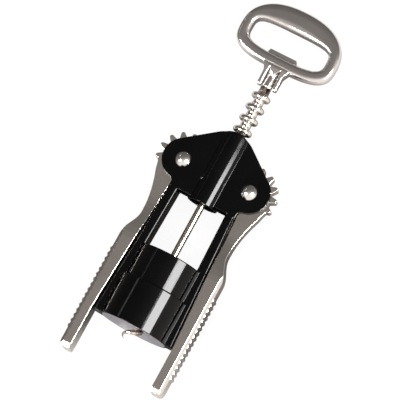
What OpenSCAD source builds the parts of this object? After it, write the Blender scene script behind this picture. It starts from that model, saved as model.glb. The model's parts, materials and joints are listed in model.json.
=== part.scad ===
// Double lever corkscrew, lying on its back: +Y runs up the screw axis towards the handle,
// +Z points out of the front of the body, and the origin is the centre of the bell's mouth.

/* [Gear train] */
// Distance between neighbouring rings of the rack
rack_pitch = 5.8; // [5.4:0.1:6.2]
// Teeth that a full circle of the lever gear would have
gear_teeth = 14; // [13:1:15]
// Teeth that are cut on each lever
teeth_cut = 9; // [8:1:9]
// Width of a tooth at its foot
tooth_foot = 3.4; // [2.8:0.1:3.6]
// Width of a tooth at its tip
tooth_tip = 1.8; // [1.2:0.1:2]
// Bevel at the corners of a tooth's tip
tooth_bevel = 0.5; // [0.3:0.1:0.6]
// Outside diameter of the rack's rings
ring_d = 9.2; // [8.6:0.1:9.4]
// Diameter of the rack between its rings
rack_core_d = 5; // [4.6:0.1:5.2]
// Width of a ring at its foot
ring_foot = 3.6; // [3:0.1:3.8]
// Rounding of a ring's edge
ring_round = 0.7; // [0.4:0.1:0.9]
// Number of rings on the rack
ring_count = 9; // [9:1:9]
// Plain length of the rack above its last ring
rack_end = 2.95; // [2.5:0.05:3.4]
// Gap between the rack's rings and the foot of the gear's teeth
root_gap = 2.5; // [1.5:0.1:2.8]
// Depth to which a ring stands inside the pitch circle of the gear
ring_mesh = 0.82; // [0.7:0.01:0.95]
// Height of the ring next to the pivots above the pivots
ring_rise = 0.7; // [0.3:0.1:1.1]
// Thickness of the gear and of the lever's upper web
gear_t = 6; // [5:0.2:6.4]

/* [Body] */
// Height of the lever pivots above the mouth of the bell
pivot_y = 77.6; // [76:0.2:80]
// Thickness of each head plate
plate_t = 1.3; // [1:0.1:1.6]
// Running gap between the gear and each head plate
plate_gap = 0.3; // [0.2:0.05:0.4]
// Radius of the head around each pivot
lobe_r = 9.7; // [9:0.1:10.2]
// Radius of the head's rounded top
crown_r = 14.5; // [12:0.5:15]
// Height of the top of the head above the mouth of the bell
head_top = 98.7; // [98:0.1:99.4]
// Height of the lower edge of the head
head_foot = 64.6; // [63.8:0.2:65.6]
// Wall of the round channel that covers the rack
channel_t = 1.2; // [1:0.1:1.5]
// Gap between the rack's rings and the round channel
channel_gap = 1.5; // [1.2:0.1:1.7]
// Half distance between the struts just under the head
strut_in_top = 12; // [11.4:0.1:12.4]
// Half distance between the struts at the bell
strut_in_foot = 12.8; // [12.4:0.1:13.2]
// Half width over the struts just under the head
strut_out_top = 16.5; // [16.2:0.1:17]
// Half width over the struts at the mouth of the bell
strut_out_foot = 20; // [19.4:0.1:20.1]
// Bevel along the struts' front edges
strut_bevel = 0.9; // [0.6:0.1:1.2]
// Fillet between the head and the struts
head_fillet = 2.4; // [1.6:0.1:3]

/* [Bell] */
// Bore that takes the neck of a bottle
neck_bore_d = 29.8; // [29.2:0.1:30]
// Wall of the liner around that bore
liner_t = 0.67; // [0.6:0.01:0.75]
// Wall of the bell
bell_t = 1; // [0.9:0.05:1.2]
// Distance that the upper part of the bell stands back from the lower part
bell_inset = 1.5; // [1.2:0.1:1.8]
// Height of the step between the two parts
bell_step = 20.1; // [18:0.1:22]
// Height of the bell
bell_h = 35.7; // [33:0.1:37]
// Thickness of the bell's top
bell_roof = 1.4; // [1:0.1:2]
// Outside diameter of the worm guide
guide_d = 12; // [10:0.5:13]

/* [Pivots] */
// Diameter of the rivet shank
rivet_d = 4; // [3.6:0.1:4.2]
// Diameter of the rivet head
rivet_head_d = 7.2; // [6.6:0.1:7.6]
// Height of the rivet head
rivet_head_h = 1.9; // [1.5:0.1:2.3]
// Outside diameter of the bush on which a lever turns
bush_d = 6.4; // [6:0.1:6.8]

/* [Levers] */
// Height of the lever's end below the mouth of the bell
lever_drop = 21.3; // [18:0.1:24]
// Distance of the grip's outer face from the screw axis
grip_out = 25.8; // [25.2:0.1:26.6]
// Distance of the lever's outer edge from the screw axis at the waist
waist_out = 21.9; // [21.4:0.1:22.4]
// Height of the waist above the mouth of the bell
waist_y = 47.6; // [46:0.2:49]
// Length over which the waist widens into the grip
swell_l = 12.5; // [10:0.5:14]
// Length over which the web thickens into the grip
ramp_l = 21; // [18:0.5:24]
// Rounding of the grip's outer corner at its end
end_round = 2.4; // [1.6:0.1:3]
// Bevel along the outer edges of the grip
grip_bevel = 1.4; // [1:0.1:1.8]
// Depth of the grip from front to back
grip_depth = 11.6; // [10:0.1:12.4]
// Reach of the shoulder beyond the pivot
shoulder_reach = 12.1; // [11.4:0.1:12.6]
// Depth of the shoulder's corner below the pivot
shoulder_drop = 2.6; // [2:0.1:3.4]
// Height of the topmost ridge above the mouth of the bell
ridge_top = 27.4; // [25:0.2:29]
// Distance between neighbouring grip ridges
ridge_pitch = 2.6; // [2.4:0.1:3]
// Number of ridges on each grip
ridge_count = 16; // [10:1:17]
// Radius of a ridge
ridge_r = 0.95; // [0.8:0.05:1.1]
// Depth to which a ridge is sunk into the grip
ridge_sink = 0.4; // [0.2:0.05:0.6]
// Gap between the lever and the body beside it
side_gap = 0.4; // [0.35:0.05:0.6]

/* [Screw] */
// Diameter of the steel shank
shank_d = 3.2; // [2.8:0.1:3.3]
// Wire diameter of the worm
worm_wire_d = 2.5; // [2.2:0.1:2.8]
// Outside diameter of the worm
worm_d = 9.2; // [8.6:0.1:9.6]
// Rise of the worm in one turn
worm_pitch = 9; // [8:0.5:10]
// Turns of the worm
worm_turns = 4.05; // [3.8:0.05:4.1]
// Height of the worm's point below the mouth of the bell
worm_drop = 5; // [4:0.1:5.4]
// Direction of the worm's point around the screw axis
worm_end_a = 141; // [0:1:359]
// Turns over which the wire leaves the shank
worm_lead = 0.6; // [0.4:0.05:0.8]
// Turns over which the wire runs out to its point
worm_taper = 0.5; // [0.3:0.05:0.8]
// Diameter of the collar under the rack
collar_d = 6.2; // [5.6:0.1:6.6]
// Height of the collar under the rack
collar_h = 2.6; // [2:0.1:3]

/* [Handle] */
// Width of the handle
handle_w = 48.6; // [46:0.2:50]
// Height of the handle's oval
handle_h = 29.5; // [27.5:0.1:31.5]
// Depth of the handle from front to back
handle_depth = 7.4; // [6.4:0.2:8.4]
// Width of the finger opening
opening_w = 37.4; // [36:0.2:38.6]
// Height of the finger opening
opening_h = 12.9; // [12:0.1:13.6]
// Thickness of the bar below the finger opening
bar_t = 5.6; // [5.2:0.1:6.2]
// Width of the cap lifter's tooth
lifter_w = 13; // [11:0.2:15]
// Height of the cap lifter's tooth
lifter_h = 1.8; // [1.4:0.1:2.2]
// Slope at each end of the cap lifter's tooth
lifter_slope = 1.2; // [0.8:0.1:1.6]
// Width of the handle's neck
neck_w = 9.6; // [9:0.1:10.4]
// Widening of the neck where it meets the handle
neck_flare = 1.6; // [1:0.1:2]
// Width of the slot between the neck's cheeks
neck_slot_w = 5.6; // [5.4:0.1:6]
// Depth of the handle's neck
neck_depth = 7; // [6.4:0.1:7.4]
// Height of the neck from the rack to the underside of the handle
neck_h = 9.5; // [8.6:0.1:10.4]

/* [Fits] */
// Running clearance of a pin in its bore, on the radius
run_fit = 0.05; // [0.02:0.01:0.08]
// Seating clearance between pieces that are fixed together
seat_fit = 0.03; // [0.01:0.01:0.05]
// End play of the rack between the neck and its collar
end_play = 0.15; // [0.1:0.05:0.25]

/* [Hidden] */
fine = 96;

// Gear train
pitch_r = gear_teeth * rack_pitch / (2 * PI);
ring_r = ring_d / 2;
pivot_x = pitch_r + ring_r - ring_mesh;
core_gap = 0.5;
tip_r = pivot_x - rack_core_d / 2 - core_gap;
root_r = pivot_x - ring_r - root_gap;
tooth_step = 360 / gear_teeth;
mesh_angle = ring_rise / pitch_r * 180 / PI;

// Head
plate_in = gear_t / 2 + plate_gap;
plate_out = plate_in + plate_t;
crown = [0, head_top - crown_r];
lobe = [pivot_x, pivot_y];
channel_in = ring_r + channel_gap;
channel_out = channel_in + channel_t;
channel_foot = head_foot - channel_t;
pocket_r = tip_r + core_gap;

// Bell
neck_bore_r = neck_bore_d / 2;
liner_r = neck_bore_r + liner_t;
low_r = liner_r + seat_fit + bell_t;
high_r = low_r - bell_inset;
guide_r = guide_d / 2;
guide_flange = 1;

// Lever
grip_half = grip_depth / 2;
lever_foot = -lever_drop;
shoulder = [pivot_x + shoulder_reach, pivot_y - shoulder_drop];
inner_x = strut_out_foot + side_gap;
web = gear_t / 2;

// Struts
strut_out_slope = (strut_out_foot - strut_out_top) / head_foot;
strut_in_slope = (strut_in_foot - strut_in_top) / (head_foot - bell_h);

// Rack and screw
shank_r = shank_d / 2;
ring_first = pivot_y + ring_rise - rack_pitch;
rack_top = ring_first + (ring_count - 1) * rack_pitch + ring_foot / 2 + rack_end;
rack_foot = ring_first - ring_foot;
collar_top = rack_foot - end_play;
helix_r = (worm_d - worm_wire_d) / 2;
helix_top = worm_turns * worm_pitch - worm_drop;
steps_per_turn = 20;
wire_sides = 10;

// Handle
neck_foot = rack_top + end_play;
handle_foot = neck_foot + neck_h;
handle_top = handle_foot + handle_h;
opening_foot = handle_foot + bar_t;
handle_mid = opening_foot + opening_h / 2;
handle_steps = 72;
section_sides = 16;

// Turns a solid built up the Z axis so that it runs up the screw axis.
module up_axis() {
    rotate([-90, 0, 0]) children();
}

// A round bar or hole on the screw axis.
module axial(r, y0, y1) {
    translate([0, y0, 0]) up_axis() cylinder(r = r, h = y1 - y0, $fn = fine);
}

// A round bar or hole across the body, from z0 to z1.
module cross_bar(x, y, r, z0, z1) {
    translate([x, y, z0]) cylinder(r = r, h = z1 - z0, $fn = fine);
}

// The point at a distance r from c, in the direction a.
function polar(c, r, a) = [c[0] + r * cos(a), c[1] + r * sin(a)];

// Two discs and the band that their outer tangents bound.
module tangent_band(c1, r1, c2, r2) {
    d = c2 - c1;
    a = acos((r1 - r2) / norm(d));
    t = atan2(d[1], d[0]);
    translate(c1) circle(r = r1, $fn = fine);
    translate(c2) circle(r = r2, $fn = fine);
    polygon([polar(c1, r1, t + a), polar(c2, r2, t + a),
        polar(c2, r2, t - a), polar(c1, r1, t - a)]);
}

// The corner between a lobe of the head and the strut below it, filled to a radius.
module head_corner() {
    f = head_fillet;
    x = strut_out_top;
    cy = pivot_y - sqrt(pow(lobe_r + f, 2) - pow(x + f - pivot_x, 2));
    c = [x + f, cy];
    foot = lobe + lobe_r * (c - lobe) / norm(c - lobe);
    difference() {
        polygon([[x - 1, cy], c, foot, lobe, [x - 1, pivot_y]]);
        translate(c) circle(r = f, $fn = fine);
    }
}

// Outline of a head plate.
module head_outline() {
    for (s = [0, 1]) mirror([s, 0]) {
        tangent_band(crown, crown_r, lobe, lobe_r);
        head_corner();
        polygon([[0, crown[1]], lobe, [strut_out_top, pivot_y], [strut_out_top, head_foot],
            [0, head_foot]]);
    }
}

// Outline of one strut, from under the head to the mouth of the bell.
module strut_outline() {
    polygon([[strut_in_top, pivot_y - lobe_r / 2], [strut_out_top, pivot_y - lobe_r / 2],
        [strut_out_top, head_foot], [strut_out_foot, 0],
        [strut_in_foot + strut_in_slope * bell_h, 0], [strut_in_top, head_foot]]);
}

// The strut's bar, bevelled along its front edges.
module strut_bar() {
    difference() {
        linear_extrude(plate_out) strut_outline();
        translate([strut_out_foot, 0, plate_out]) rotate([0, 0, atan(strut_out_slope)])
            edge_cut(strut_bevel, head_foot);
        translate([strut_in_top, head_foot, plate_out])
            rotate([0, 0, 180 + atan(strut_in_slope)]) edge_cut(strut_bevel, head_foot + 1);
    }
}

// A bar, turned by 45 degrees, that cuts a bevel of a width along an edge that runs up +Y.
module edge_cut(width, length) {
    run_out = 3;
    rotate([0, 45, 0]) translate([-run_out, -run_out, -width / sqrt(2)])
        cube([2 * run_out, length + run_out, run_out]);
}

// The bell, still solid inside.
module bell_body() {
    axial(low_r, 0, bell_step);
    axial(high_r, bell_step - 1, bell_h);
}

// The round channel over the rack, trimmed to the crown of the head.
module channel_wall() {
    intersection() {
        axial(channel_out, channel_foot, head_top);
        linear_extrude(2 * channel_out) {
            head_outline();
            translate([-channel_out, channel_foot]) square([2 * channel_out, crown_r]);
        }
    }
}

// Everything in the body that is cut away to let something through.
module body_cuts() {
    axial(channel_in, bell_h + 1, head_top + 1);
    axial(guide_r + seat_fit, bell_h - bell_roof - 1, bell_h + 1);
    axial(low_r - bell_t, -1, bell_step - bell_t);
    axial(high_r - bell_t, 0, bell_h - bell_roof);
    for (s = [-1, 1]) {
        cross_bar(s * pivot_x, pivot_y, pocket_r, -1, plate_in);
        cross_bar(s * pivot_x, pivot_y, rivet_d / 2 + run_fit, 0, plate_out + 1);
    }
}

// Everything behind the middle plane.
module rear_half() {
    reach = head_top + bell_h;
    translate([-reach, -bell_h, -reach]) cube([2 * reach, 2 * reach, reach]);
}

// The half of the body in front of the middle plane.
module body_half() {
    difference() {
        union() {
            translate([0, 0, plate_in]) linear_extrude(plate_t) head_outline();
            for (s = [0, 1]) mirror([s, 0, 0]) strut_bar();
            channel_wall();
            bell_body();
        }
        body_cuts();
        rear_half();
    }
}

module front_shell() {
    color("#141414") body_half();
}

module rear_shell() {
    color("#141414") mirror([0, 0, 1]) body_half();
}

// Sleeve in the mouth of the bell that centres it on the neck of a bottle.
module mouth_liner() {
    color("#b9b9bc") up_axis() difference() {
        cylinder(r = liner_r, h = bell_step - bell_t, $fn = fine);
        translate([0, 0, -1]) cylinder(r = neck_bore_r, h = bell_step + 1, $fn = fine);
    }
}

// Grommet in the roof of the bell that keeps the shank in line.
module worm_guide() {
    color("#202022") up_axis() difference() {
        union() {
            translate([0, 0, bell_h - bell_roof - guide_flange])
                cylinder(r = guide_r + guide_flange, h = guide_flange, $fn = fine);
            translate([0, 0, bell_h - bell_roof - guide_flange])
                cylinder(r = guide_r, h = bell_roof + guide_flange, $fn = fine);
        }
        cylinder(r = shank_r + run_fit, h = bell_h + 1, $fn = fine);
    }
}

// Outline of one gear tooth that points along +X from the pivot.
module tooth() {
    foot = tooth_foot / 2;
    tip = tooth_tip / 2;
    polygon([[0, -foot], [root_r, -foot],
        [tip_r - tooth_bevel, -tip], [tip_r, tooth_bevel - tip], [tip_r, tip - tooth_bevel],
        [tip_r - tooth_bevel, tip], [root_r, foot], [0, foot]]);
}

// A point on a smooth S from value a to value b, for t from 0 to 1.
function ease(a, b, t) = a + (b - a) * (3 * t * t - 2 * t * t * t);

// Points of an arc around c, from angle a0 to angle a1.
function arc(c, r, a0, a1) = [for (i = [0:6]) polar(c, r, a0 + (a1 - a0) * i / 6)];

// Outer edge of the right lever, from the shoulder down to its end.
function lever_outer() = concat(
    [shoulder],
    [for (i = [1:8]) let(t = i / 8)
        [waist_out + (shoulder[0] - waist_out) * pow(1 - t, 2),
            shoulder[1] + (waist_y - shoulder[1]) * t]],
    [for (i = [1:8]) let(t = i / 8)
        [ease(waist_out, grip_out, t), waist_y - swell_l * t]],
    arc([grip_out - end_round, lever_foot + end_round], end_round, 0, -90));

// Inner edge of the lever, beside the body.
function lever_inner() = [
    [inner_x + side_gap, lever_foot],
    [inner_x, lever_foot + side_gap],
    [inner_x, 0],
    [strut_out_top + side_gap, head_foot],
    [strut_out_top + side_gap, pivot_y - root_r],
    lobe];

// Outline of the right lever without its teeth.
module lever_outline() {
    polygon(concat(lever_outer(), lever_inner()));
    translate(lobe) circle(r = root_r, $fn = fine);
}

// Depth of the lever at each height, drawn across the Z axis.
module lever_side() {
    ramp_foot = waist_y - swell_l;
    ramp = [for (i = [0:8]) let(t = i / 8)
        [ease(web, grip_half, t), ramp_foot + ramp_l * (1 - t)]];
    end = [[grip_half, lever_foot + end_round], [grip_half - end_round / 2, lever_foot - 1]];
    half = concat([[web, pivot_y + tip_r + 1]], ramp, end);
    polygon(concat(half, [for (i = [len(half) - 1:-1:0]) [-half[i][0], half[i][1]]]));
}

// The lever's bar: web, waist and grip, bevelled along the grip's outer edges.
module lever_bar() {
    reach = grip_out + shoulder_reach;
    difference() {
        intersection() {
            translate([0, 0, -grip_depth]) linear_extrude(2 * grip_depth) lever_outline();
            rotate([0, 90, 0]) linear_extrude(reach) lever_side();
        }
        for (m = [0, 1]) mirror([0, 0, m])
            translate([grip_out, lever_foot - 1, grip_half]) edge_cut(grip_bevel, head_foot);
    }
}

// The right lever: bar, gear teeth and grip ridges, bored for its bush.
module lever() {
    difference() {
        union() {
            lever_bar();
            translate([pivot_x, pivot_y, -web]) linear_extrude(gear_t) {
                for (i = [0:teeth_cut - 1])
                    rotate(180 - mesh_angle + tooth_step * (0.5 - i)) tooth();
            }
            for (i = [0:ridge_count - 1])
                translate([grip_out - ridge_sink, ridge_top - i * ridge_pitch, 0])
                    cylinder(r = ridge_r, h = grip_depth - 2 * grip_bevel, center = true, $fn = 32);
        }
        cross_bar(pivot_x, pivot_y, bush_d / 2 + run_fit, -grip_depth, grip_depth);
    }
}

module right_lever() {
    color("#b8b4b2") lever();
}

module left_lever() {
    color("#b8b4b2") mirror([1, 0, 0]) lever();
}

// Steel bush between the head plates.
module bush(side) {
    difference() {
        cross_bar(side * pivot_x, pivot_y, bush_d / 2, -plate_in, plate_in);
        cross_bar(side * pivot_x, pivot_y, rivet_d / 2 + run_fit, -plate_out, plate_out);
    }
}

module left_bush() {
    color("#9a9a9a") bush(-1);
}

module right_bush() {
    color("#9a9a9a") bush(1);
}

// Domed cap of a rivet, standing on z = 0.
module rivet_cap() {
    r = rivet_head_d / 2;
    ball = (r * r + rivet_head_h * rivet_head_h) / (2 * rivet_head_h);
    intersection() {
        translate([0, 0, rivet_head_h - ball]) sphere(r = ball, $fn = fine);
        cylinder(r = r + 1, h = rivet_head_h + 1, $fn = fine);
    }
}

// Rivet through both head plates and the bush.
module rivet(side) {
    cross_bar(side * pivot_x, pivot_y, rivet_d / 2, -plate_out - 0.5, plate_out + 0.5);
    for (m = [0, 1]) mirror([0, 0, m])
        translate([side * pivot_x, pivot_y, plate_out]) rivet_cap();
}

module left_rivet() {
    color("#d8d4d0") rivet(-1);
}

module right_rivet() {
    color("#d8d4d0") rivet(1);
}

// Half section of one ring of the rack, beside the Y axis.
module ring_section() {
    core = rack_core_d / 2;
    foot = ring_foot / 2;
    side = foot * 0.65;
    crest = foot / 4;
    polygon([[shank_r + run_fit, -foot], [core, -foot], [ring_r - ring_round, -side],
        [ring_r, -crest], [ring_r, crest], [ring_r - ring_round, side], [core, foot],
        [shank_r + run_fit, foot]]);
}

// Cast sleeve with the round rack that both gears share.
module rack_sleeve() {
    bore = shank_r + run_fit;
    color("#c4c0bc") up_axis() rotate_extrude($fn = fine) {
        translate([bore, rack_foot]) square([rack_core_d / 2 - bore, rack_top - rack_foot]);
        for (i = [0:ring_count - 1]) translate([0, ring_first + i * rack_pitch]) ring_section();
    }
}

// Collar swaged onto the shank, which holds the rack up.
module rack_collar() {
    color("#a8a4a0") up_axis() difference() {
        translate([0, 0, collar_top - collar_h])
            cylinder(r = collar_d / 2, h = collar_h, $fn = fine);
        translate([0, 0, collar_top - collar_h - 1])
            cylinder(r = shank_r + seat_fit, h = collar_h + 2, $fn = fine);
    }
}

// A point on the centre line of the right-handed worm, for a turn count n from its top.
function worm_point(n) = let(
        r = helix_r * min(1, n / worm_lead), a = worm_end_a + 360 * (worm_turns - n))
    [r * cos(a), r * sin(a), helix_top - worm_pitch * n];

// Radius of the wire, which runs out to a point at its lower end.
function wire_r(n) = worm_wire_d / 2 * min(1, (worm_turns - n) / worm_taper + 0.08);

// One ring of the wire's surface around a centre line point.
function wire_ring(n) = let(
        p = worm_point(n), q = worm_point(n + 0.001),
        t = (q - p) / norm(q - p),
        u = cross(t, [0, 0, 1]) / norm(cross(t, [0, 0, 1])),
        v = cross(u, t))
    [for (k = [0:wire_sides - 1]) let(a = 360 * k / wire_sides)
        p + wire_r(n) * (cos(a) * u + sin(a) * v)];

// The coiled wire as one closed skin.
module worm_coil() {
    last = round(worm_turns * steps_per_turn);
    rings = [for (i = [1:last]) wire_ring(i / steps_per_turn)];
    points = [for (r = rings) for (p = r) p];
    m = len(rings);
    w = wire_sides;
    sides = [for (i = [0:m - 2]) for (k = [0:w - 1])
        [i * w + k, i * w + (k + 1) % w, (i + 1) * w + (k + 1) % w, (i + 1) * w + k]];
    polyhedron(points, concat([[for (k = [w - 1:-1:0]) k]], sides,
        [[for (k = [0:w - 1]) (m - 1) * w + k]]));
}

// Steel shank with the worm coiled at its lower end.
module worm() {
    color("#c8b8a4") {
        axial(shank_r, helix_top - worm_pitch * worm_lead / 2, opening_foot - bar_t / 2);
        up_axis() worm_coil();
    }
}

// Distance from the handle's middle to an oval edge in the direction a. The oval reaches up and
// down from the middle, and its power e rounds its corners more the lower it is.
function oval(a, w, up, down, e_up, e_down) = let(
        h = sin(a) > 0 ? up : down, e = sin(a) > 0 ? e_up : e_down)
    pow(pow(abs(cos(a)) / w, e) + pow(abs(sin(a)) / h, e), -1 / e);

// Outer edge of the handle, then the edge of its finger opening.
function outer_edge(a) =
    oval(a, handle_w / 2, handle_top - handle_mid, handle_mid - handle_foot, 2.35, 3.3);
function inner_edge(a) = oval(a, opening_w / 2, opening_h / 2, opening_h / 2, 4.6, 3.6);

// A wave between -1 and 1 that stays longer near its ends, for a rounded box section.
function boxy(v) = sign(v) * pow(abs(v), 0.6);

// One section of the handle's ring, in the direction a.
function handle_section(a) = let(
        mid = (outer_edge(a) + inner_edge(a)) / 2, half = (outer_edge(a) - inner_edge(a)) / 2)
    [for (k = [0:section_sides - 1]) let(
            b = 360 * (k + 0.5) / section_sides, r = mid + half * boxy(cos(b)))
        [r * cos(a), handle_mid + r * sin(a), handle_depth / 2 * boxy(sin(b))]];

// The closed ring of the handle.
module handle_ring() {
    points = [for (i = [0:handle_steps - 1]) for (p = handle_section(360 * i / handle_steps)) p];
    w = section_sides;
    n = handle_steps;
    polyhedron(points, [for (i = [0:n - 1]) for (k = [0:w - 1])
        [i * w + k, i * w + (k + 1) % w,
            ((i + 1) % n) * w + (k + 1) % w, ((i + 1) % n) * w + k]]);
}

// Outline of the neck: two cheeks with a wedge between them.
module neck_outline() {
    half = neck_w / 2;
    slot = neck_slot_w / 2;
    waist = handle_foot - neck_flare * 1.5;
    difference() {
        polygon([[-half - neck_flare, handle_foot + 1], [half + neck_flare, handle_foot + 1],
            [half, waist], [half, neck_foot], [-half, neck_foot], [-half, waist]]);
        difference() {
            translate([-slot, neck_foot - 1]) square([2 * slot, handle_foot - neck_foot + 1]);
            polygon([[-slot, handle_foot + 1], [-slot, handle_foot], [-slot / 5, waist - 1],
                [slot / 5, waist - 1], [slot, handle_foot], [slot, handle_foot + 1]]);
        }
    }
}

// Tooth of the cap lifter, standing on the bar inside the finger opening.
module lifter() {
    half = lifter_w / 2;
    sunk = bar_t / 4;
    translate([0, opening_foot - sunk, -handle_depth / 4]) linear_extrude(handle_depth / 2)
        polygon([[-half - lifter_slope, 0], [half + lifter_slope, 0],
            [half, lifter_h + sunk], [-half, lifter_h + sunk]]);
}

// Cast handle with the cap lifter's tooth and the neck that holds the shank.
module handle() {
    color("#b4afad") difference() {
        union() {
            handle_ring();
            translate([0, 0, -neck_depth / 2]) linear_extrude(neck_depth) neck_outline();
            axial(rack_core_d / 2, neck_foot, handle_foot + 1);
            lifter();
        }
        axial(shank_r + seat_fit, neck_foot - 1, opening_foot - bar_t / 2);
    }
}

front_shell();
rear_shell();
mouth_liner();
worm_guide();
left_lever();
right_lever();
left_bush();
right_bush();
left_rivet();
right_rivet();
rack_sleeve();
rack_collar();
worm();
handle();
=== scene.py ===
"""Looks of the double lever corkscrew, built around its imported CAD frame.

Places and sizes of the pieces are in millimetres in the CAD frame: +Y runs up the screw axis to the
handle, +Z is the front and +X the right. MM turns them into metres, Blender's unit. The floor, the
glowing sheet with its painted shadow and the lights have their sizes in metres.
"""

import json
import math

import bmesh
import bpy
from mathutils import Matrix, Vector

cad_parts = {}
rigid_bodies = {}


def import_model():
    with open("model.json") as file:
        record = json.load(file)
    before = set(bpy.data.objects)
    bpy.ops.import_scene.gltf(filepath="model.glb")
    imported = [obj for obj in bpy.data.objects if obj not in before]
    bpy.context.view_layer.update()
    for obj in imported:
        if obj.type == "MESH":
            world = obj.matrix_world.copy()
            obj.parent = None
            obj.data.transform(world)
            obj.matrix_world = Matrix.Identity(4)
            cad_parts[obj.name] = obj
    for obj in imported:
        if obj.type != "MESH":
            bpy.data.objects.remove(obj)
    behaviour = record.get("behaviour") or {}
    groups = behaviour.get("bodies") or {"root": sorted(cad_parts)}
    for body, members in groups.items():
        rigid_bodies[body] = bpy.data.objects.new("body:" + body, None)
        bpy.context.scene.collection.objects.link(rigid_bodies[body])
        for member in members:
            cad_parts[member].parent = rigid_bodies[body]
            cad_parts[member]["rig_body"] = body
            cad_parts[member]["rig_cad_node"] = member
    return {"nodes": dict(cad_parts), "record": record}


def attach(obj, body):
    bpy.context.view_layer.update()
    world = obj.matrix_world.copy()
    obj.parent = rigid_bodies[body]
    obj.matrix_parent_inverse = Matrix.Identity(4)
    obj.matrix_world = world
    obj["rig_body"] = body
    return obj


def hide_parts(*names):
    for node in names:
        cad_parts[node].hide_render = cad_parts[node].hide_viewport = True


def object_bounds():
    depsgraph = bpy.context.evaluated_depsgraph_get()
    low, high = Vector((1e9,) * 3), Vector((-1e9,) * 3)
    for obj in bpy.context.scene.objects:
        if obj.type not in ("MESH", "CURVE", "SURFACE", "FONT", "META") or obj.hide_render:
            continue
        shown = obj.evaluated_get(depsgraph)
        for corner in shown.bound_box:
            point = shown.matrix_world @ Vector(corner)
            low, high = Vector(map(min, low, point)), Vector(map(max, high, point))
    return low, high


MM = 0.001

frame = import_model()
cad_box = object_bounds()
nodes = frame["nodes"]
slots = {part["node"]: part["material_slot"] for part in frame["record"]["subparts"]}


def extent(node):
    """The low and high corners of a CAD node's box, at rest."""
    corners = [Vector(corner) / MM for corner in nodes[node].bound_box]
    low = Vector([min(values) for values in zip(*corners)])
    high = Vector([max(values) for values in zip(*corners)])
    return low, high


# ---------------------------------------------------------------- materials


def new_material(name):
    """An empty node material: the material, its node tree and its Principled shader."""
    material = bpy.data.materials.new(name)
    material.use_nodes = True
    tree = material.node_tree
    return material, tree, tree.nodes["Principled BSDF"]


def noise(tree, scale, detail=3.0, stretch=(1, 1, 1)):
    """The output of a noise texture in object space, whose scale is in features per metre."""
    place = tree.nodes.new("ShaderNodeTexCoord")
    mapping = tree.nodes.new("ShaderNodeMapping")
    mapping.inputs["Scale"].default_value = stretch
    texture = tree.nodes.new("ShaderNodeTexNoise")
    texture.inputs["Scale"].default_value = scale
    texture.inputs["Detail"].default_value = detail
    tree.links.new(place.outputs["Object"], mapping.inputs["Vector"])
    tree.links.new(mapping.outputs["Vector"], texture.inputs["Vector"])
    return texture.outputs["Fac"]


def opaque(value):
    """A colour with its alpha, from a colour or from a level of grey."""
    return (*value, 1) if isinstance(value, tuple) else (value, value, value, 1)


def ramp(tree, source, low, high, start=0.3, end=0.7):
    """The output of a ramp between two colours or greys, over a stretch of its source."""
    node = tree.nodes.new("ShaderNodeValToRGB")
    first, last = node.color_ramp.elements
    first.position = start
    last.position = end
    first.color = opaque(low)
    last.color = opaque(high)
    tree.links.new(source, node.inputs["Fac"])
    return node.outputs["Color"]


def bump(tree, shader, source, strength, depth):
    """A bump from a texture, of a depth in millimetres, put on the shader's normal."""
    node = tree.nodes.new("ShaderNodeBump")
    node.inputs["Strength"].default_value = strength
    node.inputs["Distance"].default_value = depth * MM
    tree.links.new(source, node.inputs["Height"])
    tree.links.new(node.outputs["Normal"], shader.inputs["Normal"])


def metal(name, dark, light, smooth, rough, grain, stretch=(1, 1, 1)):
    """Plated metal with faint tarnish in its colour and a fine uneven polish."""
    material, tree, shader = new_material(name)
    shader.inputs["Metallic"].default_value = 1.0
    tree.links.new(ramp(tree, noise(tree, 90.0), dark, light), shader.inputs["Base Color"])
    polish = ramp(tree, noise(tree, grain, 4.0, stretch), smooth, rough)
    tree.links.new(polish, shader.inputs["Roughness"])
    bump(tree, shader, noise(tree, grain * 0.5, 3.0, stretch), 0.15, 0.01)
    return material


def enamel(name):
    """Black gloss enamel: near-black paint with a soft, slightly uneven shine."""
    material, tree, shader = new_material(name)
    shade = ramp(tree, noise(tree, 60.0), (0.0012, 0.0011, 0.0013), (0.0022, 0.002, 0.0021))
    tree.links.new(shade, shader.inputs["Base Color"])
    tree.links.new(ramp(tree, noise(tree, 400.0, 4.0), 0.06, 0.12), shader.inputs["Roughness"])
    shader.inputs["IOR"].default_value = 1.3
    bump(tree, shader, noise(tree, 220.0, 1.0), 0.12, 0.02)
    return material


def plastic(name, dark, light, roughness):
    """Moulded plastic with a fine grain."""
    material, tree, shader = new_material(name)
    tree.links.new(ramp(tree, noise(tree, 120.0), dark, light), shader.inputs["Base Color"])
    shader.inputs["Roughness"].default_value = roughness
    bump(tree, shader, noise(tree, 3000.0, 2.0), 0.3, 0.01)
    return material


def make_materials():
    """The material of each slot of the CAD record, by the slot's name."""
    along_screw = (1, 0.05, 1)
    recipes = [
        ("black_enamel", enamel),
        ("grey_liner", plastic, (0.42, 0.41, 0.45), (0.5, 0.49, 0.53), 0.35),
        ("black_guide", plastic, (0.015, 0.015, 0.015), (0.03, 0.03, 0.03), 0.4),
        ("lever_chrome", metal, (0.8, 0.745, 0.695), (0.88, 0.825, 0.775), 0.1, 0.16, 900.0),
        ("handle_chrome", metal, (0.8, 0.755, 0.735), (0.87, 0.835, 0.815), 0.08, 0.14, 800.0),
        ("rack_chrome", metal, (0.8, 0.75, 0.69), (0.9, 0.85, 0.79), 0.06, 0.12, 1200.0),
        ("rivet_steel", metal, (0.78, 0.75, 0.73), (0.86, 0.83, 0.81), 0.08, 0.16, 900.0),
        ("bush_steel", metal, (0.45, 0.44, 0.43), (0.55, 0.54, 0.53), 0.25, 0.35, 700.0),
        ("worm_steel", metal, (0.5, 0.43, 0.36), (0.64, 0.56, 0.48), 0.14, 0.24, 700.0, along_screw),
    ]
    return {name: build(name, *settings) for name, build, *settings in recipes}


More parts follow.
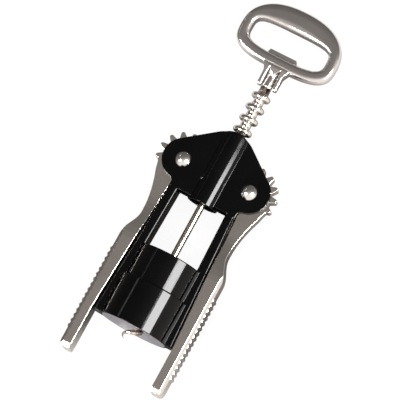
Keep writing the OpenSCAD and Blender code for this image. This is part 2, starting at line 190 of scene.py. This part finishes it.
MATERIALS = make_materials()


# ------------------------------------------------------------ making skins


def paint(piece, slot_name):
    """Gives a piece its one material."""
    piece.data.materials.clear()
    piece.data.materials.append(MATERIALS[slot_name])


def shade_smooth(mesh):
    """Shades every face of a mesh smooth."""
    for face in mesh.polygons:
        face.use_smooth = True


def apply_modifiers(piece):
    """Bakes a piece's modifiers into its mesh."""
    graph = bpy.context.evaluated_depsgraph_get()
    mesh = bpy.data.meshes.new_from_object(piece.evaluated_get(graph))
    piece.modifiers.clear()
    piece.data = mesh


def add_smoothing(piece, passes, group=""):
    """A smoothing modifier, over a vertex group or over the whole piece."""
    smooth = piece.modifiers.new("smooth", "SMOOTH")
    smooth.factor = 0.5
    smooth.iterations = passes
    smooth.vertex_group = group


def softened(node, voxel, passes, zone_passes=0, zone=None, shape=None):
    """A copy of a CAD node with cast or pressed edges: its sharp corners run into each other.

    The function shape moves the copy's own points first. The copy is then rebuilt from voxels of
    the given size and smoothed. Where zone, a test of a point, holds, it is smoothed by zone_passes
    more. Both functions take points in millimetres.
    """
    piece = nodes[node].copy()
    piece.data = nodes[node].data.copy()
    piece.name = node + "_skin"
    bpy.context.scene.collection.objects.link(piece)
    if shape:
        for vertex in piece.data.vertices:
            vertex.co = shape(vertex.co / MM) * MM
    remesh = piece.modifiers.new("remesh", "REMESH")
    remesh.mode = "VOXEL"
    remesh.voxel_size = voxel * MM
    remesh.use_smooth_shade = True
    apply_modifiers(piece)
    if zone:
        group = piece.vertex_groups.new(name="zone")
        inside = [vertex.index for vertex in piece.data.vertices if zone(vertex.co / MM)]
        group.add(inside, 1.0, "REPLACE")
        add_smoothing(piece, zone_passes, group.name)
    add_smoothing(piece, passes)
    apply_modifiers(piece)
    piece.vertex_groups.clear()
    shade_smooth(piece.data)
    piece.parent = None
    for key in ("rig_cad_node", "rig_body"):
        if key in piece:
            del piece[key]
    return piece


def turned(node, profile, sides=64):
    """A piece turned about the screw axis from a closed profile of (radius, height) points."""
    mesh = bmesh.new()
    turns = [2 * math.pi * i / sides for i in range(sides)]
    rings = []
    for radius, height in profile:
        points = [Vector((radius * math.sin(a), height, radius * math.cos(a))) * MM for a in turns]
        rings.append([mesh.verts.new(point) for point in points])
    for low, high in zip(rings, rings[1:] + rings[:1]):
        for i in range(sides):
            j = (i + 1) % sides
            mesh.faces.new((low[i], low[j], high[j], high[i]))
    bmesh.ops.recalc_face_normals(mesh, faces=mesh.faces)
    data = bpy.data.meshes.new(node + "_skin")
    mesh.to_mesh(data)
    mesh.free()
    shade_smooth(data)
    piece = bpy.data.objects.new(node + "_skin", data)
    bpy.context.scene.collection.objects.link(piece)
    return piece


def dress(piece, node, body):
    """Puts a piece in the place of a CAD node."""
    paint(piece, slots[node])
    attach(piece, body)
    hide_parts(node)


# ------------------------------------------------------------------- shells

STRUT_CLEAR = 11.2  # From the screw axis to just inside a strut's inner edge
BELL_CLEAR = 17.4  # From the screw axis to just outside the bell
ABOVE_BELL = 36.0
INTO_HEAD = 66.0  # Just past the place where the struts run into the head


def on_strut(point):
    """Whether a point of a shell is on a strut, clear of the bell and up to the head."""
    beside_bell = abs(point.x) > BELL_CLEAR
    over_bell = abs(point.x) > STRUT_CLEAR and point.y > ABOVE_BELL
    return (beside_bell or over_bell) and point.y < INTO_HEAD


def dress_shells():
    """Both halves of the pressed body, with rounder struts."""
    for name in ("front_shell", "rear_shell"):
        dress(softened(name, 0.15, 12, 30, on_strut), name, "body")


# ------------------------------------------------------------------- levers

TOOTH_ROOT = 9.8  # Distance from the pivot where the shortening of a tooth starts
TOOTH_KEPT = 0.76  # Share of a tooth's length past there that is kept
LEFT_AS_IS = 6.2  # Further than this below the pivot, the lever keeps its points

rivet_low, rivet_high = extent("right_rivet")
PIVOT = (rivet_low + rivet_high) / 2


def short_teeth(point):
    """Shortens a lever's teeth to about the length that the photograph shows."""
    pivot = Vector((math.copysign(PIVOT.x, point.x), PIVOT.y, 0))
    arm = Vector((point.x, point.y, 0)) - pivot
    if point.y < PIVOT.y - LEFT_AS_IS or arm.length < TOOTH_ROOT:
        return point
    arm = arm.normalized() * (TOOTH_ROOT + (arm.length - TOOTH_ROOT) * TOOTH_KEPT)
    return Vector((pivot.x + arm.x, pivot.y + arm.y, point.z))


def dress_levers():
    """Both levers, with softer edges and shorter teeth."""
    for name in ("left_lever", "right_lever"):
        dress(softened(name, 0.13, 18, shape=short_teeth), name, name)


# ------------------------------------------------------------------- handle

NECK_H = 9.5  # Height of the neck, from its foot to the underside of the ring
NECK_CORE = 2.7  # Radius that holds the neck's round core
NECK_TAPER = 0.4  # Share of its depth that the neck loses from the ring to its foot
NECK_FOOT = extent("handle")[0].y
LIFTER_REACH = 9.0  # Half width that holds the lifter's tooth
LIFTER_SPAN = (137.6, 142.0)
NECK_BLEND = (131.0, 135.0)  # Where neck and ring meet and no more smoothing is wanted


def on_round_part(point):
    """Whether a point of the handle is on its ring or low on its neck, clear of the lifter."""
    on_lifter = abs(point.x) < LIFTER_REACH and LIFTER_SPAN[0] < point.y < LIFTER_SPAN[1]
    on_ring = point.y > NECK_BLEND[1] and not on_lifter
    return point.y < NECK_BLEND[0] or on_ring


def sloping_neck(point):
    """Slopes the neck's faces towards the rack, leaving the core round."""
    below_ring = NECK_FOOT + NECK_H - point.y
    if below_ring < 0.1 or math.hypot(point.x, point.z) < NECK_CORE:
        return point
    return Vector((point.x, point.y, point.z * (1 - NECK_TAPER * below_ring / NECK_H)))


def dress_handle():
    """The handle, with a rounder ring and a sloping neck."""
    skin = softened("handle", 0.14, 14, 80, on_round_part, sloping_neck)
    dress(skin, "handle", "screw")


# --------------------------------------------------------------------- rack

RING_COUNT = 9
RING_PITCH = 5.8
RING_RISE = 3.6  # From the foot of the rack to the middle of its first ring
RING_HALF = 1.5  # Half the thickness of a ring at its foot
RING_FULLNESS = 0.75  # Below 1 gives a ring a blunter crest than a sine's
RING_STEPS = 12
RACK_BORE = 1.62  # Just clear of the worm's shank, whose radius is 1.6
RACK_CORE = 2.5


def rack_profile():
    """Half section of the rack: a sleeve whose rings are rounded knobs."""
    low, high = extent("rack_sleeve")
    points = [(RACK_BORE, low.y), (RACK_CORE, low.y)]
    for i in range(RING_COUNT):
        middle = low.y + RING_RISE + RING_PITCH * i
        for step in range(RING_STEPS + 1):
            a = math.pi * step / RING_STEPS
            swell = (high.x - RACK_CORE) * math.sin(a) ** RING_FULLNESS
            points.append((RACK_CORE + swell, middle - RING_HALF * math.cos(a)))
    return points + [(RACK_CORE, high.y), (RACK_BORE, high.y)]


def dress_rack():
    """The ringed rack."""
    dress(turned("rack_sleeve", rack_profile()), "rack_sleeve", "rack")


# -------------------------------------------------------------------- stage

CAMERA_PLACE = Vector((307.1, -175.1, 1551.0)) * MM
CAMERA_AIM = Vector((-1.9, 65.25, 0.0)) * MM
CAMERA_RIGHT = Vector((0.8736, 0.4762, -0.1003))
FOCAL = 324.0
TOOL_MIDDLE = Vector((0, 70, 0)) * MM
ROOM_TINT = Vector((1, 0.945, 0.9))
ROOM_AXIS = Vector((0.6, -0.8, 0))
ROOM_LEVELS = [  # Direction, from 0 against the axis to 1 along it, and brightness there
    (0.0, 0.12),
    (0.2, 0.15),
    (0.36, 0.21),
    (0.42, 0.26),
    (0.52, 0.42),
    (0.67, 0.77),
    (0.77, 1.0),
    (1.0, 1.0),
]


def facing(back, side):
    """A rotation whose Z runs along back and whose X is as near to side as that allows."""
    back = back.normalized()
    up = back.cross(side).normalized()
    return Matrix((up.cross(back), up, back)).transposed().to_4x4()


def add_camera():
    """A long lens above the tool, a little to its right and towards its bell."""
    data = bpy.data.cameras.new("camera")
    data.lens = FOCAL
    data.sensor_width = 36
    camera = bpy.data.objects.new("camera", data)
    bpy.context.scene.collection.objects.link(camera)
    turn = facing(CAMERA_PLACE - CAMERA_AIM, CAMERA_RIGHT)
    camera.matrix_world = Matrix.Translation(CAMERA_PLACE) @ turn
    bpy.context.scene.camera = camera


def add_plane(name, corner_low, corner_high, height):
    """A level staged plane between two corners."""
    middle = [(low + high) / 2 for low, high in zip(corner_low, corner_high)]
    bpy.ops.mesh.primitive_plane_add(size=1, location=(*middle, height))
    plane = bpy.context.object
    plane.name = name
    plane.scale = (corner_high[0] - corner_low[0], corner_high[1] - corner_low[1], 1)
    return plane


def add_floor():
    """A plain white floor under the tool, which shiny surfaces don't mirror."""
    floor = add_plane("floor", (-3, -3), (3, 3), cad_box[0][2] - 0.3 * MM)
    material, tree, shader = new_material("floor")
    shader.inputs["Base Color"].default_value = (0.16, 0.16, 0.16, 1)
    shader.inputs["Roughness"].default_value = 0.9
    shader.inputs["Specular IOR Level"].default_value = 0.0
    shader.inputs["Emission Color"].default_value = (1, 1, 1, 1)
    shader.inputs["Emission Strength"].default_value = 0.88
    floor.data.materials.append(material)
    floor.visible_glossy = False


def add_glowing_sheet_painted_shadow():
    """The glowing sheet that shiny surfaces mirror instead of the floor: warm white, with a painted
    shadow under the tool.
    """
    glowing_sheet_painted_shadow = add_plane("glowing_sheet_painted_shadow", (-0.08, -0.2), (0.3, 0.4), cad_box[0][2] - 0.1 * MM)
    material, tree, shader = new_material("glowing_sheet_painted_shadow")
    near = tree.nodes.new("ShaderNodeAmbientOcclusion")
    near.inputs["Distance"].default_value = 0.04
    near.samples = 8
    # Painted shadow: ambient occlusion darkens the sheet's glow under and close to the tool,
    # standing in for the shade that falls there.
    shade = ramp(tree, near.outputs["AO"], (0.06, 0.054, 0.05), (1.0, 0.955, 0.92), 0.6, 1.0)
    tree.links.new(shade, shader.inputs["Emission Color"])
    shader.inputs["Emission Strength"].default_value = 1.0
    shader.inputs["Base Color"].default_value = (0, 0, 0, 1)
    shader.inputs["Specular IOR Level"].default_value = 0.0
    glowing_sheet_painted_shadow.data.materials.append(material)
    glowing_sheet_painted_shadow.visible_camera = False
    glowing_sheet_painted_shadow.visible_diffuse = False
    glowing_sheet_painted_shadow.visible_shadow = False


def add_panel(name, direction, distance, size, radiance, glossy=True, diffuse=False):
    """A soft rectangular light that faces the tool from a direction."""
    direction = Vector(direction).normalized()
    data = bpy.data.lights.new(name, "AREA")
    data.shape = "RECTANGLE"
    data.size, data.size_y = size
    data.energy = math.pi * radiance * size[0] * size[1]
    light = bpy.data.objects.new(name, data)
    bpy.context.scene.collection.objects.link(light)
    side = Vector((0, 1, 0)).cross(direction)
    place = Matrix.Translation(TOOL_MIDDLE + direction * distance)
    light.matrix_world = place @ facing(direction, side)
    light.visible_glossy = glossy
    light.visible_diffuse = diffuse
    light.visible_camera = False


def add_world():
    """A warm grey room whose brightness runs along an axis."""
    world = bpy.data.worlds.new("world")
    bpy.context.scene.world = world
    world.use_nodes = True
    tree = world.node_tree
    place = tree.nodes.new("ShaderNodeTexCoord")
    along = tree.nodes.new("ShaderNodeVectorMath")
    along.operation = "DOT_PRODUCT"
    along.inputs[1].default_value = ROOM_AXIS.normalized()
    tree.links.new(place.outputs["Generated"], along.inputs[0])
    span = tree.nodes.new("ShaderNodeMapRange")
    span.inputs["From Min"].default_value = -1
    span.inputs["From Max"].default_value = 1
    tree.links.new(along.outputs["Value"], span.inputs["Value"])
    shade = tree.nodes.new("ShaderNodeValToRGB")
    elements = shade.color_ramp.elements
    while len(elements) < len(ROOM_LEVELS):
        elements.new(0.5)
    for element, (position, level) in zip(elements, ROOM_LEVELS):
        element.position = position
        element.color = (*(ROOM_TINT * level), 1)
    tree.links.new(span.outputs["Result"], shade.inputs["Fac"])
    tree.links.new(shade.outputs["Color"], tree.nodes["Background"].inputs["Color"])


def add_lights():
    """A ceiling that lights without being mirrored, and three panels that are only mirrored."""
    add_panel("ceiling", (0, 0, 1), 1.2, (1.6, 1.6), 2.0, glossy=False, diffuse=True)
    add_panel("window", (0.716, -0.065, 0.698), 1.0, (0.5, 0.5), 38.0)
    add_panel("low_window", (-0.427, -0.489, 0.758), 1.0, (0.42, 0.36), 24.0)
    add_panel("left_strip", (-0.8, 0.25, 0.6), 1.0, (0.02, 0.5), 3.5)


for name, node in nodes.items():
    paint(node, slots[name])
dress_shells()
dress_levers()
dress_handle()
dress_rack()
add_camera()
add_floor()
add_glowing_sheet_painted_shadow()
add_world()
add_lights()
bpy.context.scene.view_settings.view_transform = "Standard"
